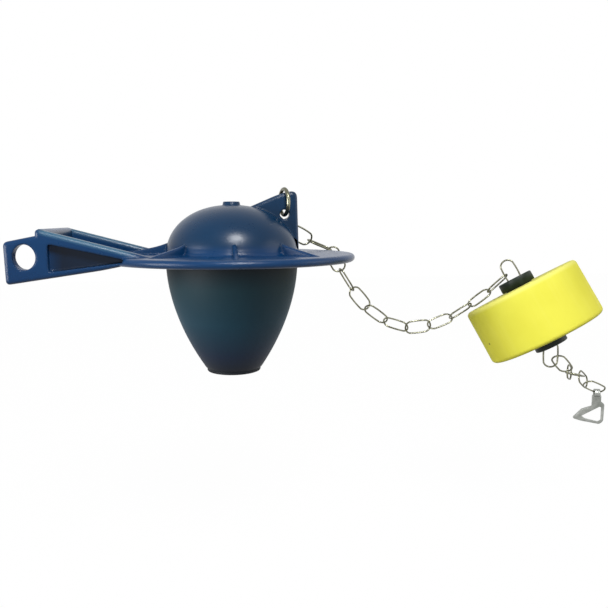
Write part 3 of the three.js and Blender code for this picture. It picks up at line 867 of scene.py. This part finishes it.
def foamMaterial():
    # streaks are a noise at the place with most of its height along the axis taken away, which draws them out
    material, tree, shader = newMaterial("yellowFoam")
    centre, axis = floatLine()
    place = objectPlace(tree)
    along = vectorCalc(tree, "DOT_PRODUCT", place, tuple(axis))
    lift = tree.nodes.new("ShaderNodeVectorMath")
    lift.operation = "SCALE"
    drawn = calc(tree, "MULTIPLY", along, foam["streakDraw"])
    feed(tree, (lift.inputs[0], lift.inputs["Scale"]), (tuple(axis), drawn))
    streak = tree.nodes.new("ShaderNodeTexNoise")
    drawnOut = vectorCalc(tree, "SUBTRACT", place, lift.outputs["Vector"])
    feed(tree, (streak.inputs["Vector"], streak.inputs["Scale"]), (drawnOut, foam["streakScale"]))
    parts = tree.nodes.new("ShaderNodeSeparateXYZ")
    tree.links.new(place, parts.inputs["Vector"])
    start, end = foam["streakFrom"]
    rightThird = mapped(tree, parts.outputs["X"], start * mm, end * mm, 0.1, 0.9)
    streaks = calc(tree, "MULTIPLY", mapped(tree, streak.outputs["Fac"], 0.48, 0.62, 0, 1), rightThird)
    top = centre @ axis + floatParts["height"] / 2
    edge = fade(tree, along, *(top + v for v in foam["edgeFade"]), 0.75)
    fromSpeck = vectorCalc(tree, "DISTANCE", place, tuple(v * mm for v in foam["speck"]))
    cloud = mapped(tree, noiseAt(tree, *foam["cloud"]), 0.35, 0.7, 0, 1)
    patch = mapped(tree, noiseAt(tree, *foam["patch"]), 0.45, 0.7, 0, 0.5)
    colour = blended(tree, cloud, foam["colour"], foam["pale"])
    colour = blended(tree, patch, colour, foam["warm"])
    colour = blended(tree, streaks, colour, foam["streak"])
    colour = blended(tree, edge, colour, foam["edge"])
    colour = blended(tree, fade(tree, fromSpeck, *foam["speckFade"]), colour, foam["dark"])
    tree.links.new(colour, shader.inputs["Base Color"])
    shader.inputs["Roughness"].default_value = foam["rough"]
    bumped(tree, shader, noiseAt(tree, *foam["pores"]), 0.05, 0.7)
    return material


plastic = {
    "colour": (0.002, 0.006, 0.003),
    "pale": (0.006, 0.014, 0.007),
    "rough": (0.38, 0.55),
    "specular": 0.25,
}


def plasticMaterial():
    # a fine grain gives the black its paler spots and its satin
    material, tree, shader = newMaterial("blackPlastic")
    grain = noiseAt(tree, 500)
    colour = blended(tree, mapped(tree, grain, 0.35, 0.7, 0, 1), plastic["colour"], plastic["pale"])
    tree.links.new(colour, shader.inputs["Base Color"])
    tree.links.new(mapped(tree, grain, 0.3, 0.7, *plastic["rough"]), shader.inputs["Roughness"])
    bumped(tree, shader, grain, 0.02, 0.6)
    shader.inputs["Specular IOR Level"].default_value = plastic["specular"]
    return material


def dress(material, *pieces):
    for piece in pieces:
        piece.data.materials.clear()
        piece.data.materials.append(material)


dress(rubberMaterial(), flapperPiece)
dress(steelMaterial("chainSteel"), *linkPieces, ringPiece)
dress(steelMaterial("clipSteel"), clipPiece)
dress(foamMaterial(), floatPiece)
dress(plasticMaterial(), bushPiece, washerPiece)
print("materials set")


# Studio: a white ground well below the part, a white surround and soft lamps

studio = {
    "floor": -125,  # mm, like the two extents
    "floorReach": 3000,
    "backdropPlace": (2500, 1300, 1500),  # half width, distance, top
    "floorShade": 0.15,
    "floorRough": 0.9,
    "glow": 1.05,
    "glowShare": 0.94,
    "surround": 0.03,
    "backdrop": 0.3,
    "aim": (0.09, 0, -0.01),  # m
    "lamps": {  # place in m, size in m, watts
        "key": ((0.125, -0.47, 0.50), 0.22, 4.9),
        "high": ((0.20, -1.04, 1.09), 0.40, 7.0),
        "left": ((-0.80, -0.45, 0.02), 0.6, 14.0),
        "right": ((0.85, -0.20, 0.15), 0.6, 1.6),
    },
}


def stagePlane(name, corners, material):
    plane = addMesh(name, corners, [[0, 1, 2, 3]], None)
    dress(material, plane)


def whiteSeen(tree):
    # 1 for camera, glossy and transmission rays, which see the white surround, and 0 for the rest
    path = tree.nodes.new("ShaderNodeLightPath")
    total = path.outputs["Is Camera Ray"]
    for kind in ("Is Glossy Ray", "Is Transmission Ray"):
        total = calc(tree, "MAXIMUM", total, path.outputs[kind])
    return total


def mixedShaders(tree, share, first, second):
    # first (1 - share) + second share
    node = tree.nodes.new("ShaderNodeMixShader")
    for socket, output in zip(node.inputs, (share, first, second)):
        tree.links.new(output, socket)
    return node.outputs[0]


def groundMaterial():
    # white that a shadow can still darken a little, and grey ground for the light that bounces
    material, tree, shader = newMaterial("whiteGround")
    shader.inputs["Base Color"].default_value = (studio["floorShade"],) * 3 + (1,)
    shader.inputs["Roughness"].default_value = studio["floorRough"]
    glow = tree.nodes.new("ShaderNodeEmission")
    glow.inputs["Strength"].default_value = studio["glow"]
    share = calc(tree, "MULTIPLY", whiteSeen(tree), studio["glowShare"])
    ground = mixedShaders(tree, share, shader.outputs[0], glow.outputs[0])
    # from below the ground is clear, so that the underside can be seen
    fromBelow = tree.nodes.new("ShaderNodeNewGeometry").outputs["Backfacing"]
    clear = tree.nodes.new("ShaderNodeBsdfTransparent").outputs[0]
    surface = mixedShaders(tree, fromBelow, ground, clear)
    tree.links.new(surface, tree.nodes["Material Output"].inputs["Surface"])
    return material


def backdropMaterial():
    # pure light, full for the rays that see white and faint for the rest
    material, tree, shader = newMaterial("whiteBackdrop")
    shader.inputs["Base Color"].default_value = (0, 0, 0, 1)
    shader.inputs["Specular IOR Level"].default_value = 0
    shader.inputs["Emission Color"].default_value = (1, 1, 1, 1)
    level = mapped(tree, whiteSeen(tree), 0, 1, studio["backdrop"], 1)
    tree.links.new(level, shader.inputs["Emission Strength"])
    return material


def makeStudio():
    # ground, backdrop and surround, and round lamps that all face the part
    low, far = studio["floor"], studio["floorReach"]
    floor = [[-far, -far, low], [far, -far, low], [far, far, low], [-far, far, low]]
    stagePlane("floorPlane", floor, groundMaterial())
    wide, back, high = studio["backdropPlace"]
    backdrop = [[-wide, back, low], [wide, back, low], [wide, back, high], [-wide, back, high]]
    stagePlane("backdropPlane", backdrop, backdropMaterial())

    world = bpy.data.worlds.new("whiteSurround")
    bpy.context.scene.world = world
    world.use_nodes = True
    tree = world.node_tree
    background = tree.nodes["Background"]
    tree.links.new(mapped(tree, whiteSeen(tree), 0, 1, studio["surround"], 1), background.inputs["Strength"])
    background.inputs["Color"].default_value = (1, 1, 1, 1)

    for name, (place, size, power) in studio["lamps"].items():
        lamp = bpy.data.lights.new(name + "Lamp", "AREA")
        lamp.shape = "DISK"
        lamp.size = size
        lamp.energy = power
        holder = bpy.data.objects.new(name + "Lamp", lamp)
        bpy.context.scene.collection.objects.link(holder)
        holder.location = place
        holder.rotation_euler = (Vector(studio["aim"]) - Vector(place)).to_track_quat("-Z", "Y").to_euler()


makeStudio()
print("studio set")
